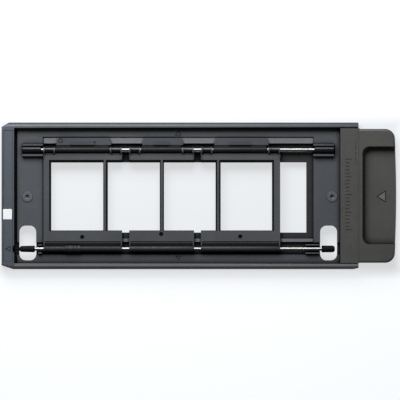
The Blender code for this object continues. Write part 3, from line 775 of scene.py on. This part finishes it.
def on_web(middle):
    return abs(middle.z - WEB_TOP) < 0.05 and middle.y < -37.2


def on_slope(middle):
    return SLOPE_Z < middle.z < MASK_Z1 - 0.05 and -30 < middle.y < 29.6


for number, (side, x0, x1) in enumerate(SECTIONS):
    hooks = (f"mask_hook_{2 * number + 1}", f"mask_hook_{2 * number + 2}")
    # Painted shade on the latch barrels, the web, the hook rings and the window slopes; painted highlight
    # on the hook walls and along each hook's crown.
    finish(
        mask_section(side, x0, x1), MASK, "mask", (f"mask_{side}", *hooks), 0.16,
        others=(
            (DARK_PLASTIC_AND_SHADE, on_barrel), (SHADED_HINGE_BARREL, in_hook), (SHADED_SLOPE, on_slope), (RIM_HIGHLIGHT, on_hook_wall),
            (DARK_PLASTIC_AND_SHADE, on_web),
        ),
    )

# ---------------------------------------------------------------- latch rod, knobs and springs

PIN_AND_KNOB = (
    (-151.8, 0.4), (-151.5, 0.75), (-148.6, 1.0), (-147.8, 1.3), (-146.2, 2.35), (-145.6, 2.5),
    (-136.0, 2.72), (-135.4, 2.65), (-135.0, 2.3),
)
RIBS, RIB_X, RIB_STEP, RIB_HIGH, RIB_LOW = 17, 101.6, 0.5, 2.9, 2.72
COLLAR_X, COLLAR_R = (-109.1, -107.3), 2.2
LATCH_COIL_X, LATCH_COIL_R, LATCH_WIRE, LATCH_TURNS = (-105.2, -98.5), 1.98, 0.22, 5


def latch():
    """The rod and the three pieces fixed to it."""
    rod0, rod1 = LATCH_ROD_X
    bar("latch_rod_bar", rod0, rod1, LATCH_Y, "latch_rod", "latch")
    left = turned_x("knob_left", LATCH_Y, PIN_AND_KNOB)
    cut(left, rod_x("knob_bore", rod0 - 0.4, -130, LATCH_Y, PRESS_R))
    finish(left, KNOB, "latch", "latch_knob_left", 0.1, angle=30)
    ribs = [(RIB_X + RIB_STEP * i, RIB_HIGH if i % 2 else RIB_LOW) for i in range(RIBS)]
    right = turned_x(
        "knob_right", LATCH_Y,
        [(100.8, 2.4), (101.2, 2.8), *ribs, (110.4, 2.65), (111.2, 2.1), (111.6, 1.4)],
    )
    cut(right, rod_x("knob_bore", 95, rod1 + 0.4, LATCH_Y, PRESS_R))
    finish(right, KNOB, "latch", "latch_knob_right", 0, angle=30)
    collar = rod_x("spring_collar", *COLLAR_X, LATCH_Y, COLLAR_R)
    cut(collar, rod_x("collar_bore", -110, -106, LATCH_Y, ROD_R + 0.05))
    finish(collar, DARK_PLASTIC_AND_SHADE, "latch", "latch_collar", 0.1)


def coil_path(x0, x1, y, radius, wire, turns, legs):
    """The middle of a wire that is wound round the X direction, with straight ends of length legs."""
    steps = 28
    path = []
    for i in range(turns * steps + 1):
        turn = 2 * math.pi * i / steps
        x = x0 + wire + (x1 - x0 - 2 * wire) * i / (turns * steps)
        path.append((x, y + radius * math.cos(turn), ROD_Z + radius * math.sin(turn)))
    if legs:
        path.insert(0, (path[0][0], path[0][1], path[0][2] - legs))
        path.append((path[-1][0], path[-1][1], path[-1][2] - legs))
    return path


def coil(name, x0, x1, y, radius, wire, turns, legs, node, body):
    """A spring of round wire, whose radius is wire."""
    sides = 10
    path = coil_path(x0, x1, y, radius, wire, turns, legs)
    rings = []
    for i, (x, py, pz) in enumerate(path):
        before, after = path[max(i - 1, 0)], path[min(i + 1, len(path) - 1)]
        along = (after[1] - before[1], after[2] - before[2])
        length = math.hypot(*along)
        outward = (along[1] / length, -along[0] / length)
        ring = []
        for j in range(sides):
            angle = 2 * math.pi * j / sides
            aside, reach = wire * math.cos(angle), wire * math.sin(angle)
            ring.append((x + aside, py + outward[0] * reach, pz + outward[1] * reach))
        rings.append(ring)
    finish(loft(name, rings), WIRE, body, node, 0, angle=60)


latch()
coil(
    "latch_coil", *LATCH_COIL_X, LATCH_Y, LATCH_COIL_R, LATCH_WIRE, LATCH_TURNS, 0,
    "latch_spring", "mask",
)

# ---------------------------------------------------------------- clamp tabs

TAB_R, TAB_TIP_R, TAB_EDGE, TAB_OVER = 2.7, 2.55, 0.15, 0.95
LEAF_Y, LEAF_Z = (41.8, 47.7), (7.4, 8.4)
RIDGE_Y, RIDGE_Z = (42.05, 43.2), (7.9, 9.0)
LIP_Y, LIP_Z, LIP_END = (28.75, HINGE_Y - 1.1), (4.8, 5.5), 0.6
CAVITY_HALF, CAVITY_R = 2.5, 2.3
COIL_HALF, COIL_R, COIL_WIRE, COIL_TURNS, COIL_LEGS = 2.2, 1.93, 0.17, 6, 3.2


def on_tab_barrel(middle):
    return middle.y < 41.0


def leaf_marks(body, x0, x1):
    """An engraved ring and a dot."""
    ring_at, dot_at = (x0 + 3.6, 45.1), (x1 - 11.6, 44.0)
    ring_z, dot_z = LEAF_Z[1] - 0.4, LEAF_Z[1] - 0.5
    ring = post("leaf_ring", *ring_at, 2.0, ring_z, OVER_MASK)
    cut(ring, post("leaf_core", *ring_at, 1.1, ring_z - 1, OVER_MASK + 1))
    cut(body, ring, post("leaf_dot", *dot_at, 0.9, dot_z, OVER_MASK))


def clamp_tab(side, x0, x1, ridge):
    """A leaf with a ridge and a lip, on a long barrel round the hinge rod that hides its spring."""
    middle = (x0 + x1) / 2
    body = blunt_rod(
        f"tab_{side}", x0 - TAB_OVER, x1 + TAB_OVER, HINGE_Y, TAB_R, TAB_TIP_R, TAB_EDGE
    )
    root, tip = LEAF_Y
    leaf = prism("leaf", ((x0 - 0.1, root), (x1 + 2.0, root), (x1 + 0.3, tip), (x0 + 1.6, tip)), *LEAF_Z)
    join(
        body,
        box("tab_web", x0 + 0.05, x1 - 0.05, HINGE_Y + 2.0, 42.3, 6.7, 7.8),
        leaf,
        box("tab_ridge", middle - ridge / 2, middle + ridge / 2, *RIDGE_Y, *RIDGE_Z),
        box("tab_lip", x0 + LIP_END, x1 - LIP_END, *LIP_Y, *LIP_Z),
    )
    cavity = (middle - CAVITY_HALF, middle + CAVITY_HALF)
    cut(
        body,
        rod_x("tab_bore", x0 - 2, x1 + 2, HINGE_Y, BORE_R),
        rod_x("torsion_cavity", *cavity, HINGE_Y, CAVITY_R),
        box("torsion_window", *cavity, HINGE_Y - 2.0, HINGE_Y + 4.0, 3, ROD_Z - 1.2),
    )
    if side == "left":
        leaf_marks(body, x0, x1)
    # Painted shade: the barrel is drawn near black, the leaf in the tab's own plastic.
    finish(
        body, TAB, f"clamp_{side}", f"clamp_tab_{side}", 0.14,
        others=((SHADED_HINGE_BARREL, on_tab_barrel),),
    )
    coil(
        f"tab_coil_{side}", middle - COIL_HALF, middle + COIL_HALF, HINGE_Y,
        COIL_R, COIL_WIRE, COIL_TURNS, COIL_LEGS, f"clamp_spring_{side}", "carrier",
    )


for side, x0, x1, ridge in TABS:
    clamp_tab(side, x0, x1, ridge)

# ---------------------------------------------------------------- handle

GRIP_X0, GRIP_X1, GRIP_Y, GRIP_ROUND, GRIP_BULGE = 131.3, 162.2, 55.0, 8.0, 1.3
GRIP_Z, GRIP_TOP, PLATE_TOP = 2.6, 11.0, 2.3
BAND = (116.1, 131.9, -55.2, 55.5, 4.9, GRIP_TOP - 0.3)
HOLLOW, HOLLOW_TOP = (129.8, 158.4, -50.0, 50.0), 4.2
SCOOP_X, SCOOP_Y, SCOOP_Z, SCOOP_ROUND, SCOOP_LEAN = 134.1, (-39.8, 40.7), 6.0, 5.8, 2.5
TICKS, TICK_X, TICK_Y, TICK_STEP = 21, 120.2, -28.0, 2.9
TICK_HALF, TICK_LONG, TICK_SHORT = 0.35, 5.2, 3.4
FINE_TICKS, FINE_TICK_X, FINE_TICK_Y, FINE_TICK_STEP = 13, (128.0, 129.3), 26.0, 1.6
FINE_TICK_HALF = 0.22
MOAT, MOAT_Z, RAISED_MARK, MARK_TOP = (150.3, -0.5, 4.4, 5.1), 5.6, (150.4, -0.5, 3.3, 3.7), 6.15
PILLAR_R, PILOT_R, PILOT_TOP = 3.2, 1.35, 9.5
HEAD_R, HEAD_Z, SHANK_R, SHANK_Z = 2.5, (0.5, 1.8), 1.25, (0.8, 9.2)
HEAD_HOLE_R, HEAD_HOLE_TOP = 2.8, 2.0
CROSS_LONG, CROSS_WIDE, CROSS_Z = 1.5, 0.3, (0, 1.2)


def grip_outline():
    """The grip from above, with round corners and an outer side that bulges."""
    corner_x, corner_y = GRIP_X1 - GRIP_BULGE - GRIP_ROUND, GRIP_Y - GRIP_ROUND
    steps = 24
    points = [(GRIP_X0, GRIP_Y), (GRIP_X0, -GRIP_Y)]
    points += arc(corner_x, -corner_y, GRIP_ROUND, -90, 0, 10)
    for i in range(1, steps):
        across = -1 + 2 * i / steps
        points.append((GRIP_X1 - GRIP_BULGE * across**2, corner_y * across))
    return points + arc(corner_x, corner_y, GRIP_ROUND, 0, 90, 10)


def triangle(x, y, reach, half):
    """A triangle that points to -X, from the middle of its height."""
    return ((x - reach, y), (x + reach * 0.8, y - half), (x + reach * 0.8, y + half))


def on_grip_edge(a, b, middle):
    """The grip's top edges, but for the one that the band covers."""
    return min(a.z, b.z) > GRIP_TOP - NEAR and middle.x > GRIP_X0 + 0.1


def on_mark(middle):
    return abs(middle.z - MARK_TOP) < 0.02 and 145 < middle.x < 155 and abs(middle.y) < 6


def scoop_cutter():
    """The thumb's scoop, whose left and rear sides lean outwards."""
    rings = []
    front, rear = SCOOP_Y
    past_grip = GRIP_X1 + 20
    for z, lean in ((SCOOP_Z, SCOOP_LEAN), (GRIP_TOP, 0), (GRIP_TOP + 2, 0)):
        outline = rounded(SCOOP_X + lean, past_grip, front + lean * 0.2, rear - lean, SCOOP_ROUND)
        rings.append([(x, y, z) for x, y in outline])
    return loft("scoop", rings)


def shell_marks(shell):
    """Plain ticks on the band and a raised triangle in the scoop."""
    for i in range(TICKS):
        y = TICK_Y + TICK_STEP * i
        tick_x = (TICK_X, TICK_X + (TICK_LONG if i % 5 == 0 else TICK_SHORT))
        tick_y = (y - TICK_HALF, y + TICK_HALF)
        cut(shell, box("tick", *tick_x, *tick_y, GRIP_TOP - 0.55, GRIP_TOP + 1))
    for i in range(FINE_TICKS):
        y = FINE_TICK_Y + FINE_TICK_STEP * i
        tick_y = (y - FINE_TICK_HALF, y + FINE_TICK_HALF)
        cut(shell, box("fine_tick", *FINE_TICK_X, *tick_y, GRIP_TOP - 0.5, GRIP_TOP + 1))
    cut(shell, prism("mark_moat", triangle(*MOAT), MOAT_Z, SCOOP_Z + 1))
    join(shell, prism("mark", triangle(*RAISED_MARK), SCOOP_Z - 1, MARK_TOP))


def handle_shell():
    shell = prism("handle_grip", grip_outline(), GRIP_Z, GRIP_TOP)
    bevel_edges(shell, 1.7, 6, on_grip_edge)
    join(shell, box("band", *BAND))
    cut(shell, scoop_cutter(), box("hollow", *HOLLOW, BELOW, HOLLOW_TOP))
    shell_marks(shell)
    for x, y in SCREWS[2:]:
        join(shell, post("pillar", x, y, PILLAR_R, GRIP_Z, HOLLOW_TOP + 0.5))
    for x, y in SCREWS:
        cut(shell, post("pilot", x, y, PILOT_R, BELOW, PILOT_TOP))
    finish(shell, HANDLE, "carrier", "handle_shell", 0.25, 3, others=((MARK, on_mark),))


def handle_plate():
    plate = prism("handle_plate", grip_outline(), 0, PLATE_TOP)
    for x, y in SCREWS:
        cut(
            plate,
            post("shank_hole", x, y, SHANK_HOLE_R, BELOW, 4),
            post("head_recess", x, y, HEAD_HOLE_R, BELOW, HEAD_HOLE_TOP),
        )
    finish(plate, COVER, "carrier", "handle_cover", 0.25)


def grip_screw(number, x, y):
    """A cross-head screw, with its head down."""
    screw = post(f"grip_screw_{number}", x, y, HEAD_R, *HEAD_Z)
    join(screw, post("shank", x, y, SHANK_R, *SHANK_Z))
    cut(
        screw,
        box("cross", x - CROSS_LONG, x + CROSS_LONG, y - CROSS_WIDE, y + CROSS_WIDE, *CROSS_Z),
        box("cross", x - CROSS_WIDE, x + CROSS_WIDE, y - CROSS_LONG, y + CROSS_LONG, *CROSS_Z),
    )
    finish(screw, SCREW, "carrier", f"handle_screw_{number}", 0.1)


handle_shell()
handle_plate()
for number, (x, y) in enumerate(SCREWS, 1):
    grip_screw(number, x, y)

# ---------------------------------------------------------------- floor, light and camera

# Metres, but for the sensor. The camera sees WIDE across at the height VIEW_Z, which is DISTANCE below it.
# Half sizes of the zone round the carrier where the paper glows less, as a painted shadow.
PAINTED_SHADOW_X, PAINTED_SHADOW_Y = 0.163, 0.060
CAMERA_X, CAMERA_Y, VIEW_Z, DISTANCE, WIDE, SENSOR = 0.0008, -0.0034, 0.008, 2.4, 0.3288, 36.0
LAMP_PLACE, LAMP_AIM, LAMP_SIZE, LAMP_WATTS = (-0.12, 0.48, 0.36), (-0.02, 0.0, 0), (0.66, 0.36), 6.6
LAMP_COLOUR, SKY_COLOUR, SKY_STRENGTH = (0.97, 0.985, 1.0), (0.95, 0.97, 1.0, 1), 0.10


def area_light(name, place, aim, size, power, colour):
    data = bpy.data.lights.new(name, "AREA")
    data.shape = "RECTANGLE"
    data.size, data.size_y = size
    data.energy = power
    data.color = colour
    lamp = bpy.data.objects.new(name, data)
    bpy.context.scene.collection.objects.link(lamp)
    lamp.location = place
    lamp.rotation_euler = (Vector(aim) - Vector(place)).to_track_quat("-Z", "Y").to_euler()


def paper():
    """Matt paper that glows faintly, more away from the carrier than beside it: the glow is painted light,
    and its dip by the carrier is a painted shadow.
    """
    mat, tree, shader = new_material("floor_paper")
    at = tree.nodes.new("ShaderNodeTexCoord").outputs["Object"]
    cloud = spread(tree, noise(tree, at, 3.0), 0, 1)
    tone = blend(tree, cloud, (0.225, 0.230, 0.236, 1), (0.235, 0.240, 0.246, 1))
    tree.links.new(tone, shader.inputs["Base Color"])
    shader.inputs["Roughness"].default_value = 0.9
    shader.inputs["Emission Color"].default_value = (0.96, 0.98, 1.0, 1)
    place = tree.nodes.new("ShaderNodeSeparateXYZ")
    tree.links.new(at, place.inputs["Vector"])
    beyond_x = math_node(tree, "SUBTRACT", math_node(tree, "ABSOLUTE", place.outputs["X"]), PAINTED_SHADOW_X)
    beyond_y = math_node(tree, "SUBTRACT", math_node(tree, "ABSOLUTE", place.outputs["Y"]), PAINTED_SHADOW_Y)
    beyond = math_node(tree, "MAXIMUM", beyond_x, beyond_y)
    # Painted shadow: the glow is weaker within the carrier's footprint and rises just outside it.
    tree.links.new(spread(tree, beyond, 0.655, 0.86, -0.002, 0.009), shader.inputs["Emission Strength"])
    return mat


floor = box("floor", -3000, 3000, -3000, 3000, -2.0, -0.05)
floor.data.materials.append(paper())

world = bpy.data.worlds.new("studio")
bpy.context.scene.world = world
world.use_nodes = True
sky = world.node_tree.nodes["Background"]
sky.inputs["Color"].default_value = SKY_COLOUR
sky.inputs["Strength"].default_value = SKY_STRENGTH
area_light("window", LAMP_PLACE, LAMP_AIM, LAMP_SIZE, LAMP_WATTS, LAMP_COLOUR)

bpy.context.scene.view_settings.view_transform = "Standard"
camera_data = bpy.data.cameras.new("camera")
camera = bpy.data.objects.new("camera", camera_data)
bpy.context.scene.collection.objects.link(camera)
bpy.context.scene.camera = camera
camera_data.sensor_width = SENSOR
camera_data.lens = SENSOR * DISTANCE / WIDE
camera.location = (CAMERA_X, CAMERA_Y, DISTANCE + VIEW_Z)
